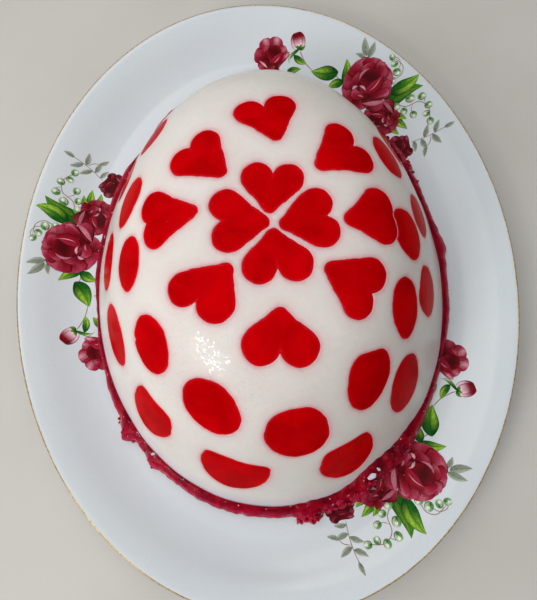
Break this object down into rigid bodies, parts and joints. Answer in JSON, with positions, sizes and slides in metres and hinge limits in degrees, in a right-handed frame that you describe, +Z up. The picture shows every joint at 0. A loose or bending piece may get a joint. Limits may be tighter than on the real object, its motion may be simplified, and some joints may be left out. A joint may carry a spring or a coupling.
{
  "type": "moulded milk jelly on an oval plate",
  "caption": "Oval dome of white milk jelly set with red jelly hearts and discs, on a layer of red jelly, on an oval porcelain plate with floral sprays.",
  "frame": {"origin": "on the table under the middle of the plate", "axes": "+Z up, +Y along the plate's long side, towards the narrower end of the egg-shaped jelly"},
  "size_m": [0.26, 0.3268, 0.0988],
  "materials": {
    "porcelain": "glossy glaze, slightly bluish white, floral transfer sprays and a thin gold line on the rim",
    "white_milk_jelly": "wet, smooth, slightly translucent cream-white milk jelly",
    "red_jelly": "wet, glossy, saturated red jelly",
    "red_base_jelly": "wet, glossy, translucent crimson jelly"
  },
  "bodies": {
    "root": {"plate": "porcelain", "red_base_layer": "red_base_jelly", "milk_jelly": "white_milk_jelly", "inner_heart_01": "red_jelly", "inner_heart_02": "red_jelly", "inner_heart_03": "red_jelly", "inner_heart_04": "red_jelly", "outer_heart_01": "red_jelly", "outer_heart_02": "red_jelly", "outer_heart_03": "red_jelly", "outer_heart_04": "red_jelly", "outer_heart_05": "red_jelly", "outer_heart_06": "red_jelly", "outer_heart_07": "red_jelly", "outer_heart_08": "red_jelly", "shoulder_disc_01": "red_jelly", "shoulder_disc_02": "red_jelly", "shoulder_disc_03": "red_jelly", "shoulder_disc_04": "red_jelly", "shoulder_disc_05": "red_jelly", "shoulder_disc_06": "red_jelly", "shoulder_disc_07": "red_jelly", "shoulder_disc_08": "red_jelly", "shoulder_disc_09": "red_jelly", "shoulder_disc_10": "red_jelly", "shoulder_disc_11": "red_jelly", "shoulder_disc_12": "red_jelly", "shoulder_disc_13": "red_jelly", "flank_disc_01": "red_jelly", "flank_disc_02": "red_jelly", "flank_disc_03": "red_jelly", "flank_disc_04": "red_jelly", "flank_disc_05": "red_jelly", "flank_disc_06": "red_jelly", "flank_disc_07": "red_jelly", "flank_disc_08": "red_jelly", "flank_disc_09": "red_jelly", "flank_disc_10": "red_jelly", "flank_disc_11": "red_jelly", "flank_disc_12": "red_jelly", "flank_disc_13": "red_jelly"}
  },
  "joints": []
}
